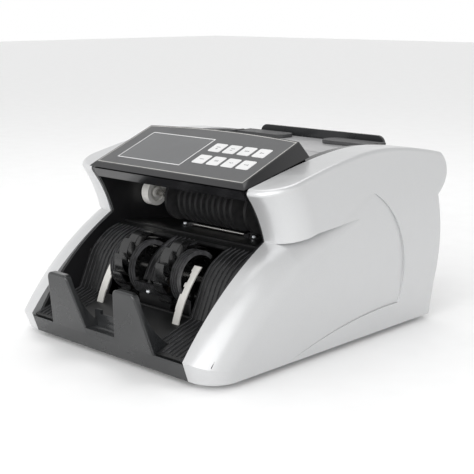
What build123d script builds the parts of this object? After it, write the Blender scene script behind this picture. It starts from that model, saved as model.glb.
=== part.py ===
from build123d import *
import os
from math import atan2, cos, degrees, hypot, radians, sin

# Banknote counter: a desk machine with a hopper on top, a stacker pocket in front and moulded side panels.
# All sizes are in millimetres. X runs to the right, Y from front to back and Z up.
# The design frame has Y = 0 at the front top edge of the base and Z = 0 under the base.
# The finished parts are moved so that the origin is under the middle of the machine, on the ground.

# ---------------------------------------------------------------- driving sizes
NOTE_WIDTH = 190.0           # widest banknote that the pocket takes
NOTE_PLAY = 2.5              # room for the note at each side
INNER_HALF = NOTE_WIDTH / 2 + NOTE_PLAY
PANEL_DEPTH = 33.5           # side panel, inner plane to its widest point
PANEL_WALL = 3.0
HOLLOW_INSET = 8.0           # outline to hollow, thick enough for the rounded front
NOSE_ROUND = 27.0            # plan rounding of the panel's nose
CREST_ROUND = 4.0            # rounding along the top and rear edges
LOWER_ROUND = 25.0           # plan rounding of its long front edge
BASE_REAR = 295.5            # rear foot of the side panels
BODY_TOP = 164.4             # highest point of the side panels' top edge
FIT_GAP = 0.3                # gap between neighbouring casings
FOOT_HEIGHT = 5.0
FOOT_RADIUS = 7.5
SHAFT_R = 3.0                # every driven shaft
RUNNING_FIT = 0.05           # radial play of a shaft in its bearing
BEARING_R = 6.5
CHASSIS_WALL = 3.0
SHEET = 1.2                  # steel sheet
SHELL = 2.4                  # moulded inner shells

# ---------------------------------------------------------------- shaft centres (Y, Z)
IMPELLER_AXIS = (70.0, 61.0)
FEED_AXIS = (140.0, 110.0)
PICKUP_AXIS = (186.0, 140.0)
SEPARATOR_AXIS = (173.2, 110.0)
MOTOR_AXIS = (222.0, 48.0)

# ---------------------------------------------------------------- rotating parts
IMPELLER_TIP_R = 30.7
IMPELLER_HUB_R = 9.0
IMPELLER_WIDTH = 10.0
IMPELLER_X = 26.3
BLADE_COUNT = 12
BLADE_THICK = 1.5
BLADE_SWEEP = 74.0           # degrees between a blade's root and its trailing tip
DRUM_CORE_R = 17.0
DRUM_RING_R = 20.5
DRUM_HALF = 34.0
RING_COUNT = 10
RING_WIDTH = 2.6
DISC_R = 21.0
DISC_X = 50.0
DISC_WIDTH = 3.0
NYLON_R = 12.5
NYLON_WIDTH = 9.0
NYLON_X = 88.5
PICKUP_R = 18.0
PICKUP_X = 27.0
PICKUP_WIDTH = 11.0
SEPARATOR_GAP = 1.0          # note gap between the feed drum and the separator roller
SEPARATOR_R = SEPARATOR_AXIS[0] - FEED_AXIS[0] - DRUM_RING_R - SEPARATOR_GAP

# ---------------------------------------------------------------- belt drive, in the right side panel
BELT_WIDTH = 4.0
BELT_THICK = 1.2
BELT_GAP = 0.3               # belt to pulley groove
PULLEY_FLANGE = 1.0
FLANGE_HEIGHT = 1.5
PULLEY_PITCH = BELT_WIDTH + 2 * BELT_GAP + PULLEY_FLANGE
DRIVE_X = INNER_HALF + 1.5   # inner end of the pulley stack
MOTOR_PULLEY_R = 9.0
FEED_FROM_MOTOR_R = 13.5
FEED_TO_IMPELLER_R = 6.5
IMPELLER_PULLEY_R = 9.5
FEED_TO_PICKUP_R = 9.0
PICKUP_PULLEY_R = 9.0

# ---------------------------------------------------------------- control panel
PANEL_TILT = 21.8            # degrees
FILM_FRONT = (73.7, 146.8)   # front edge of the key film (Y, Z)
FILM_HALF = 91.0
FILM_LENGTH = 71.0           # up the slope at the sides
FILM_BOW = 5.0               # how much longer the film is in the middle
FILM_THICK = 0.6
WINDOW_LEFT = -75.5
WINDOW_WIDTH = 80.5
WINDOW_START = 12.5
WINDOW_LENGTH = 47.5
KEY_SIZE = 14.0
KEY_FIRST_X = 20.0
KEY_PITCH_X = 17.3
KEY_ROWS = (47.3, 26.3)      # distance up the slope of the back row and the front row
KEY_HEIGHT = 3.0
KEY_PROUD = 0.25
KEY_TRAVEL = 0.5
KEY_GAP = 0.3
BOARD_DROP = 7.2             # film to the control board
BOARD_THICK = 1.6

# ---------------------------------------------------------------- stacker
TRAY_HALF = 93.7
WING_START = 54.0
ISLAND_HALF = 14.0
SLOT_INNER = 19.6
SLOT_OUTER = 33.2
SHROUD_R = 22.4
SHROUD_RING_R = 23.8
RIB_HEIGHT = 1.1
RIB_WIDTH = 1.0
WING_RIBS = 8
STRIP_INNER = 44.4
STRIP_OUTER = 52.6
FINGER_OUTER_LOW = 66.0
FINGER_OUTER_TOP = 55.3
FINGER_INNER_LOW = 18.0
FINGER_INNER_TOP = 30.2
FINGER_TOP = 65.0
STOPPER_DEPTH = 14.2

# ---------------------------------------------------------------- hopper
BED_TOP = 157.0
BED_FRONT = 152.0
BED_SPLIT = 197.0
BED_REAR = 276.0
BED_HALF = 88.0
RAIL_INNER = 88.4
GUIDE_INNER = 24.0
GUIDE_OUTER = 86.0
GUIDE_TRAVEL = 18.0
SUPPORT_HALF = 77.9
SUPPORT_TOP = 165.3
SUPPORT_Y = 280.9
SUPPORT_THICK = 3.0

PANEL_OUTER = INNER_HALF + PANEL_DEPTH
LINER = INNER_HALF - FIT_GAP
CHASSIS_INNER = LINER - CHASSIS_WALL
NOTCH = (92.7, 97.0)
TOE = (0.0, 17.0)
NOSE = (68.5, 141.6)


# ---------------------------------------------------------------- small tools
def prism_x(edges, x0, x1):
    """Solid between x0 and x1 whose outline in the Y-Z plane is the closed loop of edges."""
    face = make_face([Plane.YZ * e for e in edges])
    return Pos(x0, 0, 0) * extrude(face, x1 - x0, dir=(1, 0, 0))


def poly_x(points, x0, x1):
    """Prism along X over a polygon of (Y, Z) points."""
    loop = list(points) + [points[0]]
    return prism_x([Line(a, b) for a, b in zip(loop, loop[1:])], x0, x1)


def block(x0, x1, y0, y1, z0, z1):
    """Box between two corners."""
    centre = Pos((x0 + x1) / 2, (y0 + y1) / 2, (z0 + z1) / 2)
    return centre * Box(abs(x1 - x0), abs(y1 - y0), abs(z1 - z0))


def rod_x(x0, x1, axis, radius):
    """Cylinder along X about the (Y, Z) axis."""
    turned = Rot(0, 90, 0) * Cylinder(radius, x1 - x0, align=(Align.CENTER, Align.CENTER, Align.MIN))
    return Pos(x0, axis[0], axis[1]) * turned


def tube_x(x0, x1, axis, outer, inner):
    """Ring along X about the (Y, Z) axis."""
    return rod_x(x0, x1, axis, outer) - rod_x(x0 - 1, x1 + 1, axis, inner)


def fuse(shapes):
    """All the shapes as one."""
    total = shapes[0]
    for shape in shapes[1:]:
        total = total + shape
    return total


def both_sides(shape):
    """The shape and its mirror image about the middle plane."""
    return shape + mirror(shape, about=Plane.YZ)


def mirrored(shape):
    """The same piece for the other hand."""
    return mirror(shape, about=Plane.YZ)


def polar(axis, radius, angle):
    """(Y, Z) point at a radius and an angle in degrees, counted from the back towards the top."""
    return (axis[0] + radius * cos(radians(angle)), axis[1] + radius * sin(radians(angle)))


def shifted(point, dy, dz):
    """(Y, Z) point moved by dy and dz."""
    return (point[0] + dy, point[1] + dz)


def capsule(a, ra, b, rb, x0, x1):
    """Solid wrapped round two circles by their outer tangents."""
    dy, dz = b[0] - a[0], b[1] - a[1]
    span = hypot(dy, dz)
    lean = degrees(atan2(dz, dy))
    side = degrees(atan2((span ** 2 - (ra - rb) ** 2) ** 0.5, ra - rb))
    corners = [polar(a, ra, lean + side), polar(b, rb, lean + side),
               polar(b, rb, lean - side), polar(a, ra, lean - side)]
    return fuse([poly_x(corners, x0, x1), rod_x(x0, x1, a, ra), rod_x(x0, x1, b, rb)])


def on_slope(x, along, above=0.0):
    """Point of the tilted control panel: along is up the slope, above is square to it."""
    c, s = cos(radians(PANEL_TILT)), sin(radians(PANEL_TILT))
    return (x, FILM_FRONT[0] + along * c - above * s, FILM_FRONT[1] + along * s + above * c)


SLOPE_PLANE = Plane(origin=on_slope(0, 0), x_dir=(1, 0, 0),
                    z_dir=(0, -sin(radians(PANEL_TILT)), cos(radians(PANEL_TILT))))


def slope_block(x0, x1, u0, u1, h0, h1, corner=0.0):
    """Block that lies on the control panel's slope, with rounded corners."""
    sketch = Pos((x0 + x1) / 2, (u0 + u1) / 2) * Rectangle(x1 - x0, u1 - u0)
    if corner:
        sketch = fillet(sketch.vertices(), corner)
    return SLOPE_PLANE * Pos(0, 0, h0) * extrude(sketch, h1 - h0)


# ---------------------------------------------------------------- side panels
TOP_POINTS = ((296.6 + 4.4, 153.0), (250.0, BODY_TOP - 2.6), (205.0, BODY_TOP), (145.0, BODY_TOP - 6.6), NOSE)


def upper_outline():
    """Outline of the panel's upper half, above the crease that runs back from the notch."""
    return [ThreePointArc(NOSE, (84.0, 119.3), NOTCH),
            Line(NOTCH, (120.0, 104.5)),
            Line((120.0, 104.5), (200.0, 110.0)),
            Line((200.0, 110.0), (BASE_REAR + 1.1, 114.0)),
            ThreePointArc((BASE_REAR + 1.1, 114.0), (BASE_REAR + 9.5, 121.5), (BASE_REAR + 14.5, 131.0)),
            ThreePointArc((BASE_REAR + 14.5, 131.0), (BASE_REAR + 12.5, 145.0), TOP_POINTS[0]),
            Spline(*TOP_POINTS)]


def lower_outline():
    """Outline of the panel's lower half, with the long arc of its front edge."""
    return [Line((6.0, 0.0), TOE),
            ThreePointArc(TOE, (45.0, 64.0), NOTCH),
            Line(NOTCH, (120.0, 108.0)),
            Line((120.0, 108.0), (150.0, 118.0)),
            Line((150.0, 118.0), (BASE_REAR + 1.1, 118.0)),
            Line((BASE_REAR + 1.1, 118.0), (BASE_REAR + 1.1, 114.0)),
            ThreePointArc((BASE_REAR + 1.1, 114.0), (BASE_REAR + 6.5, 83.0), (BASE_REAR + 2.5, 32.0)),
            Line((BASE_REAR + 2.5, 32.0), (BASE_REAR, 0.0)),
            Line((BASE_REAR, 0.0), (6.0, 0.0))]


def barrel(inset, turn=0.0):
    """Everything inside the panel's bulged side, moved in by inset and turned about the rear edge."""
    x = PANEL_OUTER - inset
    edges = [ThreePointArc((x - 5.4, -1.0), (x, 80.0), (x - 3.5, 172.0)),
             Line((x - 3.5, 172.0), (0.0, 172.0)),
             Line((0.0, 172.0), (0.0, -1.0)),
             Line((0.0, -1.0), (x - 5.4, -1.0))]
    face = make_face([Plane.XZ * e for e in edges])
    solid = Pos(0, 400, 0) * extrude(face, 520, dir=(0, -1, 0))
    if turn:
        pivot = Pos(x, BASE_REAR, 0)
        solid = pivot * Rot(0, 0, turn) * pivot.inverse() * solid
    return solid


def front_outer_edges(solid, rear_limit, least_rise):
    """The front edges of a half panel where its face meets the bulged side."""
    picked = []
    for edge in solid.edges():
        box = edge.bounding_box()
        rise = box.max.Z - box.min.Z
        if box.min.X > INNER_HALF + 20 and (edge @ 0.5).Y < rear_limit and rise > least_rise:
            picked.append(edge)
    return picked


def panel_hollow():
    """Inside of the panel, open towards the chassis; its floor stays closed."""
    lower = offset(make_face([Plane.YZ * e for e in lower_outline()]), -HOLLOW_INSET, kind=Kind.INTERSECTION)
    rim = BASE_REAR - HOLLOW_INSET
    corners = [(132.0, 100.0), (104.0, 139.0), (205.0, 158.0), (288.0, 148.0), (BASE_REAR + 4.5, 131.0),
               (rim, 116.0), (rim, 100.0)]
    crown = make_face(Plane.YZ * Polyline(*corners, close=True))
    return Pos(INNER_HALF - 1, 0, 0) * extrude(lower + crown, PANEL_DEPTH - PANEL_WALL - 7.0, dir=(1, 0, 0))


def right_panel():
    """Side panel: two blended halves, a shallow leaf-shaped recess and a hollow inside."""
    over = PANEL_OUTER + 5
    upper = prism_x(upper_outline(), INNER_HALF, over) & barrel(0)
    lower = prism_x(lower_outline(), INNER_HALF, over) & barrel(0)
    upper = fillet(front_outer_edges(upper, 100.0, 20.0), NOSE_ROUND)
    lower = fillet(front_outer_edges(lower, 140.0, 5.0), LOWER_ROUND)
    body = upper + lower
    outer = [e for e in body.edges() if e.bounding_box().min.X > INNER_HALF + 1]
    crest = [e for e in outer if (e @ 0.5).Z > NOSE[1] or (e @ 0.5).Y > BASE_REAR - 5]
    body = fillet(crest, CREST_ROUND)
    recess = prism_x([ThreePointArc((196.0, 128.0), (238.0, 84.0), (240.0, 22.0)),
                      ThreePointArc((240.0, 22.0), (170.0, 18.0), (92.0, 1.0)),
                      ThreePointArc((92.0, 1.0), (126.0, 84.0), (196.0, 128.0))], INNER_HALF + 20, over)
    body = body - (recess - barrel(2.2, turn=0.6))
    body = body - panel_hollow()
    room = BELT_GAP + BELT_THICK + 1.0
    return body - capsule(FEED_AXIS, FEED_TO_IMPELLER_R + room, IMPELLER_AXIS, IMPELLER_PULLEY_R + room,
                          INNER_HALF - 1, DRIVE_X + 2 * PULLEY_PITCH + 3.0)


# ---------------------------------------------------------------- base and chassis
def make_base():
    """Base pan with the slanted front strip, low flanges and the four rubber feet."""
    front = poly_x([(6.0, 0.0), (0.8, 14.8), (3.6, 14.8), (8.6, SHELL), (BASE_REAR - 8, SHELL),
                    (BASE_REAR - 8, 0.0)], -LINER, LINER)
    flange = block(CHASSIS_INNER - 0.4 - SHELL, CHASSIS_INNER - 0.4, 12, BASE_REAR - 8, 1, 14)
    rear = block(-CHASSIS_INNER + 0.4, CHASSIS_INNER - 0.4, BASE_REAR - 8 - SHELL, BASE_REAR - 8, 1, 14)
    pan = front + both_sides(flange) + rear
    foot = Pos(80, 28, -FOOT_HEIGHT) * Cylinder(FOOT_RADIUS, FOOT_HEIGHT,
                                                align=(Align.CENTER, Align.CENTER, Align.MIN))
    feet = both_sides(foot) + both_sides(Pos(0, 240, 0) * foot)
    return {"base_pan": pan, "feet": feet}


BEARING_AXES = (IMPELLER_AXIS, FEED_AXIS, PICKUP_AXIS)


def make_chassis():
    """Inner side walls that line the pocket and carry the shafts, with their bearings."""
    step = 1.2
    notch = shifted(NOTCH, step + 0.4, 0)
    edges = [ThreePointArc((9.0, SHELL + 15.5), (46.5, 63.0), notch),
             ThreePointArc(notch, (85.4, 119.3), (73.0, 140.0)),
             Line((73.0, 140.0), (150.0, 147.4)),
             Line((150.0, 147.4), (BASE_REAR - 10, 147.4)),
             Line((BASE_REAR - 10, 147.4), (BASE_REAR - 10, SHELL + FIT_GAP)),
             Line((BASE_REAR - 10, SHELL + FIT_GAP), (9.0, SHELL + FIT_GAP)),
             Line((9.0, SHELL + FIT_GAP), (9.0, SHELL + 15.5))]
    wall = prism_x(edges, CHASSIS_INNER, LINER)
    for axis in BEARING_AXES:
        wall = wall - rod_x(CHASSIS_INNER - 1, LINER + 1, axis, BEARING_R + 0.02)
    rings = [tube_x(CHASSIS_INNER, LINER, axis, BEARING_R, SHAFT_R + RUNNING_FIT) for axis in BEARING_AXES]
    pairs = [both_sides(ring) for ring in rings]
    wall = wall - rod_x(CHASSIS_INNER - 1, LINER + 1, SEPARATOR_AXIS, SHAFT_R + 0.02)
    right = wall - rod_x(CHASSIS_INNER - 1, LINER + 1, MOTOR_AXIS, SHAFT_R + 1.0)
    return {"chassis_right": right, "chassis_left": mirrored(wall), "shaft_bearings": fuse(pairs)}


# ---------------------------------------------------------------- stacker pocket
FLOOR_START = (1.0, 17.3)
FLOOR_END = (50.0, 32.6)
SLOPE_TOP = (63.0, 61.0)
ARCH_END = (99.0, 84.8)
TRAY_END = (105.5, 85.6)


def tray_line(dy, dz):
    """The tray's running surface, moved by dy and dz."""
    arch_mid = (76.8, 76.2)
    return [Line(shifted(FLOOR_START, dy, dz), shifted(FLOOR_END, dy, dz)),
            Line(shifted(FLOOR_END, dy, dz), shifted(SLOPE_TOP, dy, dz)),
            ThreePointArc(shifted(SLOPE_TOP, dy, dz), shifted(arch_mid, dy, dz), shifted(ARCH_END, dy, dz)),
            Line(shifted(ARCH_END, dy, dz), shifted(TRAY_END, dy, dz))]


def tray_band(dy0, dz0, dy1, dz1, x0, x1):
    """Sheet between two shifted copies of the running surface."""
    ends = [Line(shifted(FLOOR_START, dy0, dz0), shifted(FLOOR_START, dy1, dz1)),
            Line(shifted(TRAY_END, dy0, dz0), shifted(TRAY_END, dy1, dz1))]
    return prism_x(tray_line(dy0, dz0) + tray_line(dy1, dz1) + ends, x0, x1)


def make_tray():
    """Ribbed tray: two wings, a centre island and open bays for the impellers."""
    tray = tray_band(0, 0, 1.4, -2.2, -TRAY_HALF, TRAY_HALF)
    bay = block(ISLAND_HALF, WING_START, FLOOR_END[0] - 2.0, 97.5, FLOOR_END[1] + 0.4, 95)
    tray = tray - both_sides(bay)
    tray = tray - block(-ISLAND_HALF - 1, ISLAND_HALF + 1, FLOOR_END[0] - 2.0, 70, FLOOR_END[1] + 0.4, 52.5)
    tray = tray - block(-FINGER_OUTER_LOW - 0.6, FINGER_OUTER_LOW + 0.6, -5, STOPPER_DEPTH + 0.4, 0, 40)
    pitch = (TRAY_HALF - 2.6 - WING_START - 2.0) / (WING_RIBS - 1)
    room = block(-TRAY_HALF, TRAY_HALF, 4.0, 97.0, 0, 90)
    for index in range(WING_RIBS):
        x = WING_START + 2.0 + index * pitch
        rib = tray_band(0.3, -0.5, -0.5, RIB_HEIGHT, x - RIB_WIDTH / 2, x + RIB_WIDTH / 2) & room
        if x < FINGER_OUTER_LOW + 1:
            rib = rib - block(0, TRAY_HALF, -5, STOPPER_DEPTH + 0.4, 0, 40)
        tray = tray + both_sides(rib)
    upper = block(-TRAY_HALF, TRAY_HALF, 40, 97.0, 53.0, 95)
    for x in (-11.0, -5.5, 0.0, 5.5, 11.0):
        rib = tray_band(0.3, -0.5, -0.5, RIB_HEIGHT, x - RIB_WIDTH / 2, x + RIB_WIDTH / 2) & upper
        tray = tray + rib
    return {"stacker_tray": tray}


def shroud(x0, x1):
    """Ribbed cover over the impeller shaft, open at the back."""
    shell = tube_x(x0, x1, IMPELLER_AXIS, SHROUD_R, SHROUD_R - SHELL)
    count = int((x1 - x0) / 3.2)
    pitch = (x1 - x0 - 1.6) / max(count, 1)
    rings = [tube_x(x0 + 0.8 + i * pitch - 0.5, x0 + 0.8 + i * pitch + 0.5, IMPELLER_AXIS, SHROUD_RING_R,
                    SHROUD_R - 1) for i in range(count + 1)]
    wedge = poly_x([IMPELLER_AXIS, polar(IMPELLER_AXIS, 60, 44), polar(IMPELLER_AXIS, 60, -10),
                    polar(IMPELLER_AXIS, 60, -60), polar(IMPELLER_AXIS, 60, -118)], x0 - 1, x1 + 1)
    ring = (fuse([shell] + rings)) - wedge
    low = polar(IMPELLER_AXIS, SHROUD_R - 1.2, -118)
    leg = block(x0, x1, low[0] - 1.2, low[0] + 1.2, SHELL + 0.2, low[1] + 0.6)
    return ring + leg


def make_shrouds():
    """Three ribbed covers: between the impellers and outside each of them."""
    outer = shroud(SLOT_OUTER + 0.4, STRIP_INNER - 0.9)
    centre = shroud(-SLOT_INNER + 0.4, SLOT_INNER - 0.4)
    hidden = tray_band(-30, 60, 1.8, -2.6, -ISLAND_HALF - 0.4, ISLAND_HALF + 0.4)
    keep = block(-60, 60, 0, 200, 0, 52.9)
    centre = centre - (hidden - keep)
    return {"impeller_shrouds": centre + both_sides(outer)}


def make_strips():
    """Bright steel strips that lead the notes into the impellers, with a stepped inner edge."""
    low, top = (37.6, 27.9), (65.0, 73.2)
    edges = [ThreePointArc(low, (50.2, 55.0), top), Line(top, shifted(top, 1.0, -0.6)),
             ThreePointArc(shifted(top, 1.0, -0.6), (51.2, 54.4), shifted(low, 1.0, -0.6)),
             Line(shifted(low, 1.0, -0.6), low)]
    strip = prism_x(edges, STRIP_INNER, STRIP_OUTER)
    for z0, z1, depth in ((66.0, 69.0, 1.0), (52.0, 57.5, 1.6), (60.5, 66.0, 1.9), (28.0, 40.0, 0.6)):
        strip = strip - block(STRIP_INNER - 1, STRIP_INNER + depth, 20, 80, z0, z1)
    return {"guide_strip_right": strip, "guide_strip_left": mirrored(strip)}


def make_stopper():
    """Front stop: two leaning fingers on one base, fixed with two screws."""
    r = 6.0
    ot, it = FINGER_OUTER_TOP, FINGER_INNER_TOP
    ol, il = FINGER_OUTER_LOW, FINGER_INNER_LOW
    low, high = 15.1, FINGER_TOP
    outline = Polyline((ol, low), (ot, high), (it, high), (il, low + 4), (il, low), close=True)
    face = make_face(Plane.XZ * outline)
    tops = [v for v in face.vertices() if v.Z > high - 1]
    face = fillet(tops, r)
    plate = Pos(0, 60, 0) * extrude(face, 120, dir=(0, -1, 0))
    side = prism_x([Line((-1.2, low), (-13.0, high)), Line((-13.0, high), (-6.6, high)),
                    ThreePointArc((-6.6, high), (0.6, 38.0), (STOPPER_DEPTH, 22.0)),
                    Line((STOPPER_DEPTH, 22.0), (STOPPER_DEPTH, 17.0)), Line((STOPPER_DEPTH, 17.0), (1.2, low)),
                    Line((1.2, low), (-1.2, low))], 0, 100)
    finger = plate & side
    edge = [e for e in finger.edges() if (e @ 0.5).Z > high - r - 1 and (e @ 0.5).Y < -8]
    finger = fillet(edge, 1.6)
    valley = poly_x([(-1.2, low), (-2.2, 20.4), (2.4, 20.4), (STOPPER_DEPTH, 19.4), (STOPPER_DEPTH, 17.0),
                     (1.2, low)], -il - 1, il + 1)
    wall = block(-il - 2, il + 2, STOPPER_DEPTH - 2.8, STOPPER_DEPTH, 18.0, 30.0)
    shoulder = block(-il - 4, -il + 3, STOPPER_DEPTH - 2.8, STOPPER_DEPTH, 18.0, 33.5)
    body = fuse([finger, mirrored(finger), valley, wall, shoulder, mirrored(shoulder)])
    head = Pos(45, 10.0, 9.6) * Cylinder(2.8, 2.4, align=(Align.CENTER, Align.CENTER, Align.MIN))
    pilot = Pos(45, 10.0, 15.0) * Cylinder(1.45, 9.0, align=(Align.CENTER, Align.CENTER, Align.MIN))
    body = body - both_sides(pilot)
    screw = Pos(45, 10.0, 12.0) * Cylinder(1.4, 11.0, align=(Align.CENTER, Align.CENTER, Align.MIN))
    return {"stacker_stopper": body, "stopper_screws": both_sides(screw + head)}


# ---------------------------------------------------------------- impellers
def impeller(x):
    """Wheel of curved blades whose tips trail behind the turn."""
    wheel = tube_x(x - IMPELLER_WIDTH / 2, x + IMPELLER_WIDTH / 2, IMPELLER_AXIS, IMPELLER_HUB_R, SHAFT_R)
    tip_angle = 93.0
    mid_r = IMPELLER_TIP_R * 0.70
    spread = degrees(BLADE_THICK / IMPELLER_HUB_R)
    blades = []
    for index in range(BLADE_COUNT):
        tip = tip_angle + index * 360.0 / BLADE_COUNT
        root = tip + BLADE_SWEEP
        middle = tip + BLADE_SWEEP * 0.55
        thin = degrees(BLADE_THICK / mid_r) / 2
        root_r = IMPELLER_HUB_R - 1.0
        a = polar(IMPELLER_AXIS, root_r, root + spread / 2)
        b = polar(IMPELLER_AXIS, mid_r, middle + thin)
        c = polar(IMPELLER_AXIS, IMPELLER_TIP_R, tip + 0.9)
        d = polar(IMPELLER_AXIS, IMPELLER_TIP_R, tip - 0.9)
        e = polar(IMPELLER_AXIS, mid_r, middle - thin)
        f = polar(IMPELLER_AXIS, root_r, root - spread / 2)
        blades.append(prism_x([ThreePointArc(a, b, c), Line(c, d), ThreePointArc(d, e, f), Line(f, a)],
                              x - IMPELLER_WIDTH / 2, x + IMPELLER_WIDTH / 2))
    return wheel + blades


# ---------------------------------------------------------------- shafts, rollers and belts
def pulley(axis, steps):
    """Pulley on a shaft: each step is (position in the stack, groove radius)."""
    parts = []
    for place, radius in steps:
        x0 = DRIVE_X + place * PULLEY_PITCH
        parts.append(tube_x(x0, x0 + PULLEY_FLANGE, axis, radius + FLANGE_HEIGHT, SHAFT_R))
        parts.append(tube_x(x0 + PULLEY_FLANGE, x0 + PULLEY_PITCH, axis, radius, SHAFT_R))
        parts.append(tube_x(x0 + PULLEY_PITCH, x0 + PULLEY_PITCH + PULLEY_FLANGE, axis, radius + FLANGE_HEIGHT, SHAFT_R))
    return fuse(parts)


def belt(a, ra, b, rb, place):
    """Flat belt round two pulleys, at its place in the stack."""
    x0 = DRIVE_X + place * PULLEY_PITCH + PULLEY_FLANGE + BELT_GAP
    x1 = x0 + BELT_WIDTH
    inner = capsule(a, ra + BELT_GAP, b, rb + BELT_GAP, x0 - 1, x1 + 1)
    outer = capsule(a, ra + BELT_GAP + BELT_THICK, b, rb + BELT_GAP + BELT_THICK, x0, x1)
    return outer - inner


def make_impeller_train():
    """Impeller shaft with its two wheels and pulley."""
    shaft_end = DRIVE_X + 2 * PULLEY_PITCH + PULLEY_FLANGE + 1.0
    return {"impeller_shaft": rod_x(-LINER, shaft_end, IMPELLER_AXIS, SHAFT_R),
            "impeller_left": impeller(-IMPELLER_X),
            "impeller_right": impeller(IMPELLER_X),
            "impeller_pulley": pulley(IMPELLER_AXIS, [(1, IMPELLER_PULLEY_R)])}


def make_feed_train():
    """Feed shaft with the ringed drum, two discs, two nylon wheels and the stepped pulley."""
    drum = tube_x(-DRUM_HALF, DRUM_HALF, FEED_AXIS, DRUM_CORE_R, SHAFT_R)
    pitch = (2 * DRUM_HALF - RING_WIDTH) / (RING_COUNT - 1)
    rings = [tube_x(-DRUM_HALF + i * pitch, -DRUM_HALF + i * pitch + RING_WIDTH, FEED_AXIS, DRUM_RING_R,
                    DRUM_CORE_R - 1) for i in range(RING_COUNT)]
    disc = tube_x(DISC_X - DISC_WIDTH / 2, DISC_X + DISC_WIDTH / 2, FEED_AXIS, DISC_R, SHAFT_R)
    hub = tube_x(DISC_X - DISC_WIDTH / 2 - 5, DISC_X - DISC_WIDTH / 2, FEED_AXIS, 8.0, SHAFT_R)
    nylon = tube_x(NYLON_X - NYLON_WIDTH / 2, NYLON_X + NYLON_WIDTH / 2, FEED_AXIS, NYLON_R, SHAFT_R)
    groove = tube_x(NYLON_X - NYLON_WIDTH / 2 - 1, NYLON_X - NYLON_WIDTH / 2 + 3, FEED_AXIS, 8.2, 5.2)
    stack = [(0, FEED_FROM_MOTOR_R), (1, FEED_TO_IMPELLER_R), (2, FEED_TO_PICKUP_R)]
    shaft_end = DRIVE_X + 3 * PULLEY_PITCH + PULLEY_FLANGE + 0.6
    return {"feed_shaft": rod_x(-LINER, shaft_end, FEED_AXIS, SHAFT_R),
            "feed_drum": fuse([drum] + rings),
            "feed_discs": both_sides(disc + hub),
            "nylon_wheels": both_sides(nylon - groove),
            "feed_pulley": pulley(FEED_AXIS, stack)}


def make_pickup_train():
    """Pickup shaft under the hopper bed, with two rubber rollers and its pulley."""
    roller = tube_x(PICKUP_X - PICKUP_WIDTH / 2, PICKUP_X + PICKUP_WIDTH / 2, PICKUP_AXIS, PICKUP_R, SHAFT_R)
    return {"pickup_shaft": rod_x(-LINER, DRIVE_X + 3 * PULLEY_PITCH + PULLEY_FLANGE + 0.6, PICKUP_AXIS, SHAFT_R),
            "pickup_rollers": both_sides(roller),
            "pickup_pulley": pulley(PICKUP_AXIS, [(2, PICKUP_PULLEY_R)])}


def make_drive():
    """Motor with its pulley, the three belts and the fixed separator roller."""
    can_end = CHASSIS_INNER - 3.0
    shell = rod_x(can_end - 62, can_end, MOTOR_AXIS, 24.0)
    boss = rod_x(can_end, CHASSIS_INNER - 0.4, MOTOR_AXIS, 9.0)
    foot = block(can_end - 54, can_end - 10, MOTOR_AXIS[0] - 18, MOTOR_AXIS[0] + 18, SHELL, MOTOR_AXIS[1] - 17)
    bore = rod_x(can_end - 20, CHASSIS_INNER + 1, MOTOR_AXIS, SHAFT_R + RUNNING_FIT)
    motor_pulley = pulley(MOTOR_AXIS, [(0, MOTOR_PULLEY_R)])
    spindle = rod_x(can_end - 18, DRIVE_X + PULLEY_PITCH + PULLEY_FLANGE, MOTOR_AXIS, SHAFT_R)
    roller = rod_x(-30, 30, SEPARATOR_AXIS, SEPARATOR_R)
    axle = rod_x(-LINER, LINER, SEPARATOR_AXIS, SHAFT_R)
    return {"main_motor": shell + boss + foot - bore,
            "motor_pulley": motor_pulley + spindle,
            "motor_belt": belt(MOTOR_AXIS, MOTOR_PULLEY_R, FEED_AXIS, FEED_FROM_MOTOR_R, 0),
            "impeller_belt": belt(FEED_AXIS, FEED_TO_IMPELLER_R, IMPELLER_AXIS, IMPELLER_PULLEY_R, 1),
            "pickup_belt": belt(FEED_AXIS, FEED_TO_PICKUP_R, PICKUP_AXIS, PICKUP_PULLEY_R, 2),
            "separator_roller": roller + axle}


# ---------------------------------------------------------------- note exit above the impellers
def make_exit():
    """Black guide under the feed drum, its bright rod and the sensor lenses."""
    front, rear = 107.0, 160.0
    guide = poly_x([(front, 78.0), (front, 87.0), (front + 2.5, 87.4), (rear, 81.5), (rear, 79.3),
                    (front + 2.5, 84.9), (front + 2.5, 78.0)], -TRAY_HALF, TRAY_HALF)
    rod_axis = (139.4, 86.2)
    cheek = block(35.0, 37.4, 134.0, 145.0, 80.5, 88.2) - rod_x(30, 40, rod_axis, 1.5)
    lug = block(41.6, 45.8, 135.0, 141.0, 81.0, 85.4)
    guide = guide + both_sides(cheek) + both_sides(lug)
    rod = rod_x(-37.0, 37.0, rod_axis, 1.5)
    lens = Pos(43.7, 138.0, 85.4) * Cylinder(1.7, 1.4, align=(Align.CENTER, Align.CENTER, Align.MIN))
    spot = polar(IMPELLER_AXIS, SHROUD_RING_R + 0.1, 222)
    stack_lens = Pos(0, spot[0], spot[1]) * Rot(90 - 42, 0, 0) * Cylinder(1.6, 1.4)
    return {"exit_guide": guide, "guide_rod": rod, "sensor_lenses": both_sides(lens) + stack_lens}


# ---------------------------------------------------------------- control panel
REAR_LOW = (148.9, 160.6)


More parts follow.
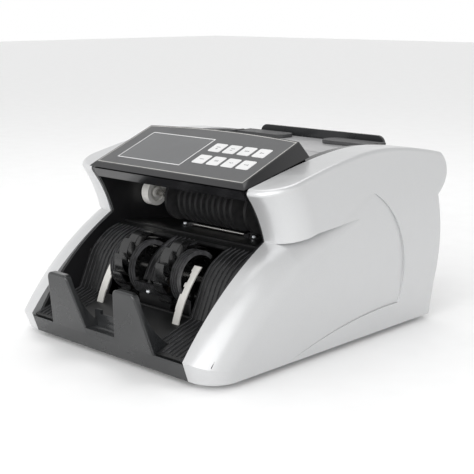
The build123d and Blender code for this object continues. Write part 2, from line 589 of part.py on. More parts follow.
def wedge(side, front, rear, drop, low_half):
    """Tapered body under the control panel; its back edge bows out in the middle."""
    corners = [(-low_half, NOSE[0] + 0.6 + front, NOSE[1] + 0.5), (low_half, NOSE[0] + 0.6 + front, NOSE[1] + 0.5),
               (low_half, REAR_LOW[0] - rear, REAR_LOW[1]), (-low_half, REAR_LOW[0] - rear, REAR_LOW[1])]
    low = make_face(Polyline(*corners, close=True))
    a, b = on_slope(-side, front - 1.2, -drop), on_slope(side, front - 1.2, -drop)
    c, d = on_slope(side, FILM_LENGTH - rear + 1.2, -drop), on_slope(-side, FILM_LENGTH - rear + 1.2, -drop)
    bow = on_slope(0, FILM_LENGTH - rear + FILM_BOW + 1.2, -drop)
    high = make_face([Line(a, b), Line(b, c), ThreePointArc(c, bow, d), Line(d, a)])
    return loft([low, high], ruled=True)


def film_sketch(half, start, length, bow, corner):
    """Outline of the key film on the slope, with its bowed back edge."""
    edges = [Line((-half, start), (half, start)), Line((half, start), (half, length)),
             ThreePointArc((half, length), (0, length + bow), (-half, length)), Line((-half, length), (-half, start))]
    face = make_face(edges)
    return fillet(face.vertices(), corner)


def key_centres():
    """(x, along) of each key, back row first."""
    return [(KEY_FIRST_X + i * KEY_PITCH_X, row) for row in KEY_ROWS for i in range(4)]


def make_controls():
    """Bezel, key film, display, eight keys and the board behind them."""
    bezel = wedge(FILM_HALF + 1.2, 0.0, 0.0, 0.0, LINER)
    inner = wedge(FILM_HALF - 2.4, 4.4, 4.4, SHELL, LINER - 3.4)
    low_cut = poly_x([(NOSE[0] + 6.5, NOSE[1] - 4), (REAR_LOW[0] - 5.0, REAR_LOW[1] - 4),
                      (REAR_LOW[0] - 5.0, REAR_LOW[1] + 0.6), (NOSE[0] + 6.5, NOSE[1] + 1.6)],
                     -LINER + 3.4, LINER - 3.4)
    bezel = bezel - inner - low_cut
    film_area = SLOPE_PLANE * Pos(0, 0, -FILM_THICK) * extrude(
        film_sketch(FILM_HALF, 0.0, FILM_LENGTH, FILM_BOW, 1.5), FILM_THICK + 2)
    bezel = bezel - film_area
    film = SLOPE_PLANE * Pos(0, 0, -FILM_THICK) * extrude(
        film_sketch(FILM_HALF - 0.05, 0.05, FILM_LENGTH - 0.05, FILM_BOW, 1.5), FILM_THICK)
    wl, wr = WINDOW_LEFT, WINDOW_LEFT + WINDOW_WIDTH
    w0, w1 = WINDOW_START, WINDOW_START + WINDOW_LENGTH
    film = film - slope_block(wl, wr, w0, w1, -2, 2)
    window = slope_block(wl + 0.05, wr - 0.05, w0 + 0.05, w1 - 0.05, -FILM_THICK, 0)
    bezel = bezel - slope_block(wl + 4, wr - 4, w0 + 4, w1 - 4, -6, 2)
    parts = {}
    half = KEY_SIZE / 2
    for number, (x, row) in enumerate(key_centres(), 1):
        hole = slope_block(x - half - KEY_GAP, x + half + KEY_GAP, row - half - KEY_GAP, row + half + KEY_GAP,
                           -6, 2, 1.6 + KEY_GAP)
        film = film - hole
        bezel = bezel - hole
        parts[f"key_{number}"] = slope_block(x - half, x + half, row - half, row + half,
                                             KEY_PROUD - KEY_HEIGHT, KEY_PROUD, 1.6)
    board = slope_block(-80, 82, 8, 66, -BOARD_DROP - BOARD_THICK, -BOARD_DROP)
    for x, row in key_centres():
        board = board + slope_block(x - 3, x + 3, row - 3, row + 3, -BOARD_DROP - 0.1,
                                    -KEY_HEIGHT + KEY_PROUD - KEY_TRAVEL - KEY_GAP)
    display = slope_block(wl + 6, wr - 6, w0 + 6, w1 - 6, -BOARD_DROP, -SHELL - 0.6)
    parts.update({"control_bezel": bezel, "keypad_overlay": film, "display_window": window,
                  "display_module": display, "control_board": board})
    return parts


def make_hood():
    """Hood under the control panel: a lip along the nose, the pocket's ceiling and a rear wall."""
    lip = prism_x([Line((70.2, 140.6), (75.6, 132.4)), Line((75.6, 132.4), (78.4, 133.4)),
                   Line((78.4, 133.4), (152.0 - 7.0, 133.4)), Line((145.0, 133.4), (147.0, 135.4)),
                   Line((147.0, 135.4), (147.0, 158.8)), Line((147.0, 158.8), (144.6, 158.4)),
                   Line((144.6, 158.4), (144.6, 135.8)), Line((144.6, 135.8), (78.0, 135.8)),
                   Line((78.0, 135.8), (74.2, 141.6)), Line((74.2, 141.6), (70.2, 140.6))],
                  -CHASSIS_INNER + FIT_GAP, CHASSIS_INNER - FIT_GAP)
    return {"front_hood": lip}


# ---------------------------------------------------------------- hopper
def make_hopper():
    """Steel bed on a black frame, two sliding note guides and the hinged note support."""
    top = [(147.6, 157.0), (205.0, BODY_TOP - 1.0), (250.0, BODY_TOP - 3.6), (287.0, 154.6)]
    rail = prism_x([Spline(*top), Line(top[-1], (287.0, 148.0)), Line((287.0, 148.0), (152.0, 148.0)),
                    Line((152.0, 148.0), (147.6, 150.0)), Line((147.6, 150.0), top[0])], RAIL_INNER, LINER)
    ledge = block(BED_HALF - 5, RAIL_INNER + 1, BED_FRONT + 3, BED_REAR + 1, 152.0, BED_TOP - SHEET - 0.05)
    cross = block(-RAIL_INNER - 1, RAIL_INNER + 1, BED_REAR - 6, BED_REAR + 1, 148.0, BED_TOP - SHEET - 0.05)
    pin_y, pin_z = SUPPORT_Y, 152.0
    ear = block(SUPPORT_HALF + 0.6, RAIL_INNER + 1, pin_y - 4, pin_y + 4, 148.0, pin_z + 3.6)
    pin = rod_x(SUPPORT_HALF - 6, SUPPORT_HALF + 2, (pin_y, pin_z), 1.5)
    frame = both_sides(rail + ledge + ear + pin) + cross
    plate_low = BED_TOP - SHEET
    front = block(-BED_HALF, BED_HALF, BED_FRONT, BED_SPLIT, plate_low, BED_TOP)
    apron = block(-BED_HALF + 6, BED_HALF - 6, BED_FRONT, BED_FRONT + SHEET, 140.0, BED_TOP)
    slot = block(PICKUP_X - PICKUP_WIDTH / 2 - 1, PICKUP_X + PICKUP_WIDTH / 2 + 1, PICKUP_AXIS[0] - 9.5,
                 PICKUP_AXIS[0] + 9.5, plate_low - 5, BED_TOP + 5)
    front = front + apron - both_sides(slot)
    rear = block(-BED_HALF, BED_HALF, BED_SPLIT + 1.4, BED_REAR, plate_low, BED_TOP)
    base = block(GUIDE_INNER, GUIDE_OUTER, 249.0, 272.0, BED_TOP + 0.2, BED_TOP + 3.6)
    inner = [e for e in base.edges().filter_by(Axis.Z) if (e @ 0.5).X < GUIDE_INNER + 1]
    base = fillet(inner, 9.0)
    arm = block(GUIDE_OUTER - 3.0, GUIDE_OUTER, 206.0, 260.0, BED_TOP + 0.2, BED_TOP + 4.4)
    guide = base + arm
    sketch = Rectangle(2 * SUPPORT_HALF, SUPPORT_TOP - 149.0)
    sketch = fillet([v for v in sketch.vertices() if v.Y > 0], 8.0)
    middle = (SUPPORT_TOP + 149.0) / 2
    board = Pos(0, SUPPORT_Y + SUPPORT_THICK / 2, middle) * Rot(90, 0, 0) * extrude(sketch, SUPPORT_THICK)
    knuckle = rod_x(-SUPPORT_HALF, SUPPORT_HALF, (pin_y, pin_z), 3.2)
    below = block(-SUPPORT_HALF - 1, SUPPORT_HALF + 1, 270, 295, 140, pin_z - 3.2)
    bore = rod_x(SUPPORT_HALF - 7, SUPPORT_HALF + 3, (pin_y, pin_z), 1.5 + RUNNING_FIT)
    board = board - below + knuckle - both_sides(bore)
    return {"hopper_frame": frame, "hopper_plate_front": front, "hopper_plate_rear": rear,
            "hopper_guide_right": guide, "hopper_guide_left": mirrored(guide), "hopper_back_board": board}


# ---------------------------------------------------------------- back of the machine
INLET = (-58.0, 30.0)
SWITCH = (-37.0, 30.0)


def rear_line(dy, dz):
    """Outside line of the rear cover, moved by dy and dz."""
    foot, knee = (BASE_REAR - 3.0, 0.6), (BASE_REAR - 0.5, 32.0)
    waist = (BASE_REAR - 1.9, 114.0)
    brow, crown = (BASE_REAR + 11.5, 131.0), (BASE_REAR + 3.0, 150.5)
    return [Line(shifted(foot, dy, dz), shifted(knee, dy, dz)),
            ThreePointArc(shifted(knee, dy, dz), shifted((BASE_REAR + 3.5, 83.0), dy, dz), shifted(waist, dy, dz)),
            ThreePointArc(shifted(waist, dy, dz), shifted((BASE_REAR + 6.5, 121.5), dy, dz),
                          shifted(brow, dy, dz)),
            ThreePointArc(shifted(brow, dy, dz), shifted((BASE_REAR + 9.5, 143.0), dy, dz),
                          shifted(crown, dy, dz))]


def make_rear():
    """Rear cover with vents, mains inlet with its rocker switch, and the thickness adjusting knob."""
    foot, crown = (BASE_REAR - 3.0, 0.6), (BASE_REAR + 3.0, 150.5)
    back = [Line(foot, shifted(foot, -2.4, 0.6)), Line(crown, shifted(crown, -2.4, 0.6))]
    cover = prism_x(rear_line(0, 0) + rear_line(-2.4, 0.6) + back, -LINER, LINER)
    ix, iz = INLET
    sx, sz = SWITCH
    cover = cover - block(ix - 14, sx + 7, 280, 310, iz - 10.5, iz + 10.5)
    for index in range(7):
        x = 14 + index * 9
        cover = cover - block(x, x + 4, 280, 310, 24, 60)
    knob_y, knob_z = BASE_REAR + 2.5, 96.0
    cover = cover - (Pos(0, 280, knob_z) * Rot(-90, 0, 0) * Cylinder(3.2, 40, align=(Align.CENTER, Align.CENTER,
                                                                                     Align.MIN)))
    y_face = BASE_REAR + 1.6
    inlet = block(ix - 13.7, ix + 13.7, 276, y_face, iz - 10.2, iz + 10.2)
    inlet = inlet - block(ix - 11, ix + 11, 284, y_face + 5, iz - 7.2, iz + 7.2)
    inlet = inlet + block(ix - 1, ix + 1, 283, 293, iz + 0.5, iz + 4.5)
    inlet = inlet + block(ix - 7.4, ix - 5.4, 283, 293, iz - 4.5, iz - 0.5)
    inlet = inlet + block(ix + 5.4, ix + 7.4, 283, 293, iz - 4.5, iz - 0.5)
    frame = block(sx - 6.8, sx + 6.8, 278, y_face, sz - 10.3, sz + 10.3)
    frame = frame - block(sx - 5.0, sx + 5.0, 282, y_face + 5, sz - 8.4, sz + 8.4)
    pivot = (y_face - 5.0, sz)
    frame = frame + rod_x(sx - 5.4, sx + 5.4, pivot, 1.2)
    bridge = block(ix + 13, sx - 6, y_face - 12.0, y_face, iz - 10.2, iz + 10.2)
    rocker = poly_x([(pivot[0] - 3.2, sz - 5.2), (y_face + 0.2, sz - 7.6), (y_face - 0.9, sz),
                     (y_face + 0.2, sz + 7.6), (pivot[0] - 3.2, sz + 5.2)], sx - 4.6, sx + 4.6)
    rocker = rocker - rod_x(sx - 6, sx + 6, pivot, 1.2 + RUNNING_FIT)
    knob = Pos(0, knob_y + 1.2, knob_z) * Rot(-90, 0, 0) * Cylinder(9.0, 9.0, align=(Align.CENTER, Align.CENTER,
                                                                                    Align.MIN))
    stem = Pos(0, 284, knob_z) * Rot(-90, 0, 0) * Cylinder(3.0, 20, align=(Align.CENTER, Align.CENTER, Align.MIN))
    for index in range(12):
        angle = radians(index * 30)
        dent = Pos(9.6 * cos(angle), knob_y, knob_z + 9.6 * sin(angle)) * Rot(-90, 0, 0) * Cylinder(1.3, 30)
        knob = knob - dent
    return {"rear_cover": cover, "power_inlet": inlet + bridge + frame, "power_rocker": rocker,
            "thickness_knob": knob + stem}


def make_electronics():
    """Main board and mains transformer on the base."""
    board = block(-80, 20, 196, 270, 10.0, 11.6)
    for x, y, w, d, h in ((-70, 204, 14, 14, 9), (-48, 206, 10, 22, 7), (-20, 215, 22, 22, 3), (4, 205, 10, 30, 8),
                          (-66, 236, 18, 18, 12)):
        board = board + block(x, x + w, y, y + d, 11.0, 11.6 + h)
    for x in (-76, 16):
        for y in (200, 266):
            board = board + Pos(x, y, SHELL) * Cylinder(2.5, 8.0, align=(Align.CENTER, Align.CENTER, Align.MIN))
    core = block(-84, -34, 110, 152, SHELL, 44)
    coil = block(-78, -40, 100, 162, 8, 38)
    return {"main_board": board, "transformer": core + coil}


# ---------------------------------------------------------------- all parts, moved to the row's origin
def finished_parts():
    """Every node by name, in the design frame."""
    parts = {"right_side_panel": right_panel()}
    parts["left_side_panel"] = mirrored(parts["right_side_panel"])
    for group in (make_base, make_chassis, make_tray, make_shrouds, make_strips, make_stopper,
                  make_impeller_train, make_feed_train, make_pickup_train, make_drive, make_exit,
                  make_controls, make_hood, make_hopper, make_rear, make_electronics):
        parts.update(group())
    return parts


def main():
    """Build every part, centre the machine on its ground rectangle and write the files."""
    parts = finished_parts()
    boxes = [shape.bounding_box() for shape in parts.values()]
    front = min(box.min.Y for box in boxes)
    rear = max(box.max.Y for box in boxes)
    home = Pos(0, -(front + rear) / 2, FOOT_HEIGHT)
    print("row shift", -(front + rear) / 2, FOOT_HEIGHT)
    os.makedirs("parts", exist_ok=True)
    for name, shape in parts.items():
        solids = (home * shape).solids()
        whole = solids[0] if len(solids) == 1 else Compound(children=list(solids))
        export_step(whole, f"parts/{name}.step")


main()
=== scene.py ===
"""Looks of a desk banknote counter: studio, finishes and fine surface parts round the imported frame."""

import logging
import math
from collections.abc import Callable, Iterable
from dataclasses import dataclass
from enum import Enum

import bmesh
import bpy
from mathutils import Matrix, Vector
from mathutils.bvhtree import BVHTree


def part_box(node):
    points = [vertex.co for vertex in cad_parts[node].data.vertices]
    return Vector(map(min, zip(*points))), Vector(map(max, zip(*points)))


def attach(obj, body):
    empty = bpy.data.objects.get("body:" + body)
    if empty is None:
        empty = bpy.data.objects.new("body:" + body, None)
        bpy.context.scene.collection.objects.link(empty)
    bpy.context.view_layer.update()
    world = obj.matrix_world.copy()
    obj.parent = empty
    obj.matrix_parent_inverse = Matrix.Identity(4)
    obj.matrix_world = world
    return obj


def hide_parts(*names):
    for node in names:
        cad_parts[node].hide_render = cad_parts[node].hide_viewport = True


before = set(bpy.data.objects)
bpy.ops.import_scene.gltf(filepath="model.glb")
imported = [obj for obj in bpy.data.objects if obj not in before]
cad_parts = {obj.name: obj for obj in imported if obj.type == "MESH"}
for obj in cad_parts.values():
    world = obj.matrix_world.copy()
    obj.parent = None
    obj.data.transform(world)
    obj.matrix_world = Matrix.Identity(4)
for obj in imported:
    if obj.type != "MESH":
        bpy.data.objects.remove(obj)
log = logging.getLogger("banknote_counter")

MERGE_DISTANCE = 1e-6
SHARP_ANGLE = math.radians(32)
FLAT_ANGLE = math.radians(0.4)
TONE_CLOUDS = 28.0  # patches of tone per metre
GLOSS_CLOUDS = 60.0  # patches of gloss per metre
COAT_ROUGHNESS = 0.12
UPRIGHT = 0.99  # cosine above which an edge counts as upright
Colour = tuple[float, float, float]
Socket = bpy.types.NodeSocket


# ---------------------------------------------------------------- finishes
class Relief(Enum):
    """Fine relief of a surface."""

    SPARK = "even moulded grain"
    COARSE = "pebbled grain"
    LINES = "turned or drawn lines along X"
    ROLLED = "long rolling lines along Y"


class Graph:
    """Node material under construction, with its coordinates and its shader."""

    def __init__(self, name: str) -> None:
        """Starts an empty material with one shader.

        Args:
            name: name of the material.
        """
        self.material = bpy.data.materials.new(name)
        self.material.use_nodes = True
        self.tree = self.material.node_tree
        self.tree.nodes.clear()
        self.shader = self.tree.nodes.new("ShaderNodeBsdfPrincipled")
        output = self.tree.nodes.new("ShaderNodeOutputMaterial")
        self.tree.links.new(self.shader.outputs[0], output.inputs[0])
        self.place = self.tree.nodes.new("ShaderNodeTexCoord").outputs["Object"]

    def feed(self, node: bpy.types.Node, socket: str | int, value: object) -> None:
        """Links a socket into a node's input, or sets the input's own value.

        Args:
            node: node that gets the value.
            socket: name or number of its input.
            value: a socket, a number or a colour.
        """
        if isinstance(value, Socket):
            self.tree.links.new(value, node.inputs[socket])
        else:
            node.inputs[socket].default_value = value

    def math(self, operation: str, a: object, b: object = 0.0) -> Socket:
        """One sum on two values.

        Args:
            operation: Blender's name of the sum.
            a: first value or socket.
            b: second value or socket.

        Returns:
            The result's socket.
        """
        node = self.tree.nodes.new("ShaderNodeMath")
        node.operation = operation
        self.feed(node, 0, a)
        self.feed(node, 1, b)
        return node.outputs[0]

    def noise(self, scale: float, detail: float = 3.0, stretch: Colour = (1.0, 1.0, 1.0)) -> Socket:
        """Cloudy noise in object space.

        Args:
            scale: features per metre.
            detail: octaves.
            stretch: share of the scale along X, Y and Z.

        Returns:
            The noise's 0 to 1 socket.
        """
        spread = self.tree.nodes.new("ShaderNodeMapping")
        spread.inputs["Scale"].default_value = stretch
        self.tree.links.new(self.place, spread.inputs["Vector"])
        node = self.tree.nodes.new("ShaderNodeTexNoise")
        self.tree.links.new(spread.outputs[0], node.inputs["Vector"])
        node.inputs["Scale"].default_value = scale
        node.inputs["Detail"].default_value = detail
        return node.outputs[0]

    def cells(self, scale: float) -> Socket:
        """Rounded cells in object space, as the distance to each cell's middle.

        Args:
            scale: cells per metre.

        Returns:
            The distance's socket.
        """
        node = self.tree.nodes.new("ShaderNodeTexVoronoi")
        node.feature = "SMOOTH_F1"
        node.inputs["Scale"].default_value = scale
        self.tree.links.new(self.place, node.inputs["Vector"])
        return node.outputs["Distance"]

    def span(self, value: Socket, start: float, end: float, low: float, high: float) -> Socket:
        """Smoothly maps a value's range onto another range.

        Args:
            value: what is mapped.
            start: value that gives low.
            end: value that gives high.
            low: result at start.
            high: result at end.

        Returns:
            The result's socket.
        """
        node = self.tree.nodes.new("ShaderNodeMapRange")
        node.interpolation_type = "SMOOTHSTEP"
        for socket, number in enumerate((value, start, end, low, high)):
            self.feed(node, socket, number)
        return node.outputs[0]

    def blend(self, share: Socket, first: object, second: object) -> Socket:
        """Mixes two colours.

        Args:
            share: 0 gives the first colour and 1 the second.
            first: colour or socket.
            second: colour or socket.

        Returns:
            The colour's socket.
        """
        node = self.tree.nodes.new("ShaderNodeMix")
        node.data_type = "RGBA"
        self.feed(node, 0, share)
        for socket, colour in ((6, first), (7, second)):
            self.feed(node, socket, (*colour, 1.0) if isinstance(colour, tuple) else colour)
        return node.outputs[2]

    def axis(self, name: str) -> Socket:
        """One coordinate of the surface point, in metres."""
        node = self.tree.nodes.new("ShaderNodeSeparateXYZ")
        self.tree.links.new(self.place, node.inputs[0])
        return node.outputs[name]

    def bump(self, height: Socket, depth: float, after: Socket | None = None) -> Socket:
        """Raises the surface's shading by a height.

        Args:
            height: 0 to 1 height.
            depth: height of 1, in metres.
            after: normal of an earlier bump, if any.

        Returns:
            The bent normal's socket, which is also linked into the shader.
        """
        node = self.tree.nodes.new("ShaderNodeBump")
        node.inputs["Distance"].default_value = depth
        self.tree.links.new(height, node.inputs["Height"])
        if after:
            self.tree.links.new(after, node.inputs["Normal"])
        self.tree.links.new(node.outputs[0], self.shader.inputs["Normal"])
        return node.outputs[0]


@dataclass(frozen=True)
class Finish:
    """Surface finish with a wandering tone, uneven gloss and a fine relief."""

    name: str
    colour: Colour
    roughness: float
    relief: Relief = Relief.SPARK
    depth: float = 0.00003
    scale: float = 2200.0
    tone: float = 0.12
    metallic: float = 0.0
    coat: float = 0.0
    specular: float = 0.5

    def tone_colour(self, graph: Graph) -> Socket:
        """Base colour that wanders a little between a darker and a lighter tone.

        Args:
            graph: the material.

        Returns:
            The colour's socket.
        """
        cloud = graph.noise(TONE_CLOUDS, 5.0)
        dark = tuple(c * (1.0 - self.tone) for c in self.colour)
        light = tuple(min(1.0, c * (1.0 + self.tone)) for c in self.colour)
        return graph.blend(graph.span(cloud, 0.3, 0.7, 0.0, 1.0), dark, light)

    def height(self, graph: Graph) -> Socket:
        """Fine relief's height.

        Args:
            graph: the material.

        Returns:
            The height's socket.
        """
        if self.relief is Relief.COARSE:
            return graph.cells(self.scale)
        if self.relief is Relief.LINES:
            return graph.noise(self.scale, 2.0, (1.0, 0.02, 0.02))
        if self.relief is Relief.ROLLED:
            return graph.noise(self.scale, 2.0, (1.0, 0.02, 1.0))
        return graph.noise(self.scale, 2.0)

    def paint(self, graph: Graph) -> None:
        """Links the colour into the shader; a finish with a pattern replaces this."""
        graph.tree.links.new(self.tone_colour(graph), graph.shader.inputs["Base Color"])

    def build(self) -> bpy.types.Material:
        """Makes the material.

        Returns:
            The node material.
        """
        graph = Graph(self.name)
        self.paint(graph)
        smooth, rough = self.roughness * 0.88, min(1.0, self.roughness * 1.12)
        gloss = graph.span(graph.noise(GLOSS_CLOUDS, 4.0), 0.3, 0.7, smooth, rough)
        graph.tree.links.new(gloss, graph.shader.inputs["Roughness"])
        steady = {"Metallic": self.metallic, "Coat Weight": self.coat, "Specular IOR Level": self.specular,
                  "Coat Roughness": COAT_ROUGHNESS}
        for socket, value in steady.items():
            graph.shader.inputs[socket].default_value = value
        graph.bump(self.height(graph), self.depth)
        return graph.material


@dataclass(frozen=True)
class FlakePaint(Finish):
    """Metallic paint: tiny flakes that catch the light, under a satin clear coat."""

    flakes: float = 5200.0
    drift: float = 14.0
    dark_flake: float = 0.93
    light_flake: float = 1.05

    def paint(self, graph: Graph) -> None:
        """Lays light and dark flakes over the base tone."""
        flake = graph.span(graph.noise(self.flakes, 1.0), 0.35, 0.7, 0.0, 1.0)
        dark = tuple(c * self.dark_flake for c in self.colour)
        speckle = graph.blend(flake, dark, tuple(min(1.0, c * self.light_flake) for c in self.colour))
        even = graph.span(graph.noise(self.drift, 3.0), 0.3, 0.7, 0.0, 0.25)
        colour = graph.blend(even, speckle, self.colour)
        graph.tree.links.new(colour, graph.shader.inputs["Base Color"])


@dataclass(frozen=True)
class Ribbed(Finish):
    """Dark moulding whose rib flanks and blade sides, the faces that look along X, carry a painted highlight.
    """

    # colour of the painted highlight on faces that look along X, and the size of its uneven patches
    flank_highlight: Colour = (0.13, 0.13, 0.135)
    highlight_breakup: float = 180.0

    def paint(self, graph: Graph) -> None:
        """Paints a highlight on the faces that look along X, a little unevenly."""
        facing = graph.tree.nodes.new("ShaderNodeSeparateXYZ")
        normal = graph.tree.nodes.new("ShaderNodeNewGeometry").outputs["Normal"]
        graph.tree.links.new(normal, facing.inputs[0])
        # painted highlight: faces that look along X get a lighter colour, broken into uneven patches by noise
        flank = graph.span(graph.math("ABSOLUTE", facing.outputs["X"]), 0.55, 0.85, 0.0, 1.0)
        marks = graph.span(graph.noise(self.highlight_breakup, 4.0), 0.25, 0.65, 0.45, 1.0)
        painted_highlight = graph.math("MULTIPLY", flank, marks)
        colour = graph.blend(painted_highlight, self.tone_colour(graph), self.flank_highlight)
        graph.tree.links.new(colour, graph.shader.inputs["Base Color"])


@dataclass(frozen=True)
class CircuitBoard(Finish):
    """Solder mask with darker tracks; parts standing on the board are black and tin."""

    node: str = "main_board"
    thickness: float = 0.0016
    tracks: float = 160.0
    track_width: float = 0.06
    black_part: Colour = (0.02, 0.02, 0.02)
    tin_part: Colour = (0.35, 0.34, 0.32)

    def paint(self, graph: Graph) -> None:
        """Draws tracks on the board and darkens what stands above it."""
        track = self.tone_colour(graph)
        grid = graph.tree.nodes.new("ShaderNodeTexBrick")
        grid.inputs["Scale"].default_value = self.tracks
        grid.inputs["Mortar Size"].default_value = self.track_width
        grid.inputs["Color1"].default_value = grid.inputs["Color2"].default_value = (*self.colour, 1.0)
        grid.inputs["Mortar"].default_value = (*(c * 1.9 for c in self.colour), 1.0)
        graph.tree.links.new(graph.place, grid.inputs["Vector"])
        routed = graph.span(graph.noise(40.0, 1.0), 0.45, 0.5, 0.0, 1.0)
        mask = graph.blend(routed, track, grid.outputs["Color"])
        low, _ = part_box(self.node)
        start, end = (low.z + self.thickness * share for share in (1.2, 1.4))
        above = graph.span(graph.axis("Z"), start, end, 0.0, 1.0)
        kind = graph.span(graph.noise(90.0, 0.0), 0.45, 0.5, 0.0, 1.0)
        component = graph.blend(kind, self.black_part, self.tin_part)
        graph.tree.links.new(graph.blend(above, mask, component), graph.shader.inputs["Base Color"])


@dataclass(frozen=True)
class Laminations(Finish):
    """Stacked iron sheets seen edge on, varnished."""

    sheets: float = 320.0

    def height(self, graph: Graph) -> Socket:
        """Fine parallel steps from sheet to sheet."""
        wave = graph.tree.nodes.new("ShaderNodeTexWave")
        wave.bands_direction = "Z"
        wave.inputs["Scale"].default_value = self.sheets
        wave.inputs["Distortion"].default_value = 0.3
        graph.tree.links.new(graph.place, wave.inputs["Vector"])
        return wave.outputs["Fac"]


SILVER = FlakePaint("silver_paint", (0.60, 0.605, 0.61), 0.34, depth=0.000008, scale=3200.0,
                    metallic=0.5, coat=0.15)
BLACK = Finish("black_plastic", (0.018, 0.019, 0.020), 0.30, depth=0.00002, coat=0.15)
CAVITY = Finish("inner_black", (0.008, 0.008, 0.009), 0.46, depth=0.00003)
TRAY = Ribbed("tray_plastic", (0.007, 0.0072, 0.0075), 0.34, depth=0.00002, flank_highlight=(0.10, 0.10, 0.105))
IMPELLER = Finish("impeller_plastic", (0.010, 0.0102, 0.0105), 0.24, depth=0.00001, coat=0.2)
GLOSS = Finish("gloss_black", (0.010, 0.010, 0.011), 0.16, depth=0.00001, coat=0.3)
RUBBER = Finish("roller_rubber", (0.030, 0.030, 0.031), 0.72, relief=Relief.COARSE, depth=0.00012,
                scale=1500.0, specular=0.3)
DRUM = Ribbed("drum_rubber", (0.010, 0.010, 0.0105), 0.62, relief=Relief.LINES, depth=0.00005,
              scale=2400.0, specular=0.3, flank_highlight=(0.05, 0.05, 0.052))
BELT = Finish("belt_rubber", (0.025, 0.025, 0.025), 0.66, relief=Relief.LINES, depth=0.00006,
              scale=1800.0, specular=0.3)
NYLON = Finish("nylon", (0.80, 0.79, 0.76), 0.46, relief=Relief.LINES, depth=0.00003, tone=0.05)
STEEL = Finish("ground_steel", (0.56, 0.55, 0.53), 0.26, relief=Relief.LINES, depth=0.00002,
               scale=4200.0, metallic=1.0)
BRIGHT = Finish("bright_sheet", (0.62, 0.61, 0.58), 0.42, relief=Relief.ROLLED, depth=0.00002,
                scale=3000.0, metallic=0.25)
BED = Finish("bed_steel", (0.40, 0.40, 0.405), 0.36, relief=Relief.ROLLED, depth=0.000015,
             scale=2600.0, metallic=0.3, tone=0.05)
GUIDE = Finish("guide_plastic", (0.055, 0.055, 0.057), 0.50, relief=Relief.COARSE, depth=0.00022,
               scale=1100.0)
FILM = Finish("key_film", (0.058, 0.059, 0.061), 0.32, depth=0.00001, scale=5200.0, tone=0.05, coat=0.1)
WINDOW = Finish("smoked_window", (0.090, 0.092, 0.095), 0.22, depth=0.000004, scale=1800.0, tone=0.05,
                coat=0.2)
DISPLAY = Finish("display_filter", (0.012, 0.012, 0.013), 0.25, depth=0.00001)
WHITE = Finish("white_print", (0.66, 0.66, 0.66), 0.42, depth=0.00001, scale=3000.0, tone=0.03)
LEGEND = Finish("grey_print", (0.22, 0.22, 0.23), 0.5, depth=0.000005, tone=0.08)
PCB = CircuitBoard("circuit_board", (0.012, 0.085, 0.03), 0.35, depth=0.00002)
KEY_PCB = CircuitBoard("key_circuit_board", (0.012, 0.085, 0.03), 0.35, depth=0.00002,
                       node="control_board", thickness=0.03)
ACETAL = Finish("pulley_plastic", (0.62, 0.61, 0.57), 0.42, relief=Relief.LINES, depth=0.00003, tone=0.06)
MOTOR = Finish("zinc_plate", (0.40, 0.40, 0.41), 0.38, relief=Relief.LINES, depth=0.00002, metallic=0.85)
CORE = Laminations("varnished_core", (0.055, 0.045, 0.038), 0.45, depth=0.00012)
LENS = Finish("clear_lens", (0.72, 0.75, 0.78), 0.10, depth=0.000003, tone=0.03, coat=0.5)
SOCKET = Finish("socket_plastic", (0.018, 0.018, 0.019), 0.28, depth=0.00001)
KNOB = Finish("knob_plastic", (0.026, 0.026, 0.027), 0.48, depth=0.00004)
FLOOR = Finish("studio_floor", (0.95, 0.95, 0.95), 0.62, depth=0.00001, scale=300.0, tone=0.01,
               specular=0.2)

NODE_FINISH: dict[Finish, tuple[str, ...]] = {
    SILVER: ("left_side_panel", "right_side_panel"),
    BLACK: ("base_pan", "stacker_stopper", "hopper_frame", "hopper_back_board", "rear_cover"),
    CAVITY: ("chassis_left", "chassis_right"),
    GLOSS: ("control_bezel", "front_hood"),
    TRAY: ("stacker_tray", "impeller_shrouds", "exit_guide"),
    IMPELLER: ("impeller_left", "impeller_right"),
    RUBBER: ("pickup_rollers", "separator_roller", "feet"),
    DRUM: ("feed_drum", "feed_discs"),
    BELT: ("motor_belt", "impeller_belt", "pickup_belt"),
    NYLON: ("nylon_wheels",),
    STEEL: ("impeller_shaft", "feed_shaft", "pickup_shaft", "guide_rod", "shaft_bearings", "stopper_screws"),
    BRIGHT: ("guide_strip_left", "guide_strip_right"),
    BED: ("hopper_plate_front", "hopper_plate_rear"),
    GUIDE: ("hopper_guide_left", "hopper_guide_right"),
    FILM: ("keypad_overlay",),
    WINDOW: ("display_window",),
    DISPLAY: ("display_module",),
    WHITE: tuple(f"key_{n}" for n in range(1, 9)),
    PCB: ("main_board",),
    KEY_PCB: ("control_board",),
    ACETAL: ("feed_pulley", "impeller_pulley", "pickup_pulley", "motor_pulley"),
    MOTOR: ("main_motor",),
    CORE: ("transformer",),
    LENS: ("sensor_lenses",),
    SOCKET: ("power_inlet", "power_rocker"),
    KNOB: ("thickness_knob",),
}


class Wardrobe:
    """Builds each finish once and dresses objects in it."""

    def __init__(self) -> None:
        """Starts with nothing built."""
        self.made: dict[Finish, bpy.types.Material] = {}

    def dress(self, thing: bpy.types.Object, finish: Finish) -> None:
        """Gives one object one finish.

        Args:
            thing: object to dress.
            finish: its finish.
        """
        if finish not in self.made:
            self.made[finish] = finish.build()
        thing.data.materials.clear()
        thing.data.materials.append(self.made[finish])

    def dress_frame(self) -> None:
        """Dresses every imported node."""
        for finish, nodes in NODE_FINISH.items():
            for node in nodes:
                self.dress(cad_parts[node], finish)
                log.info("%s: %s", node, finish.name)


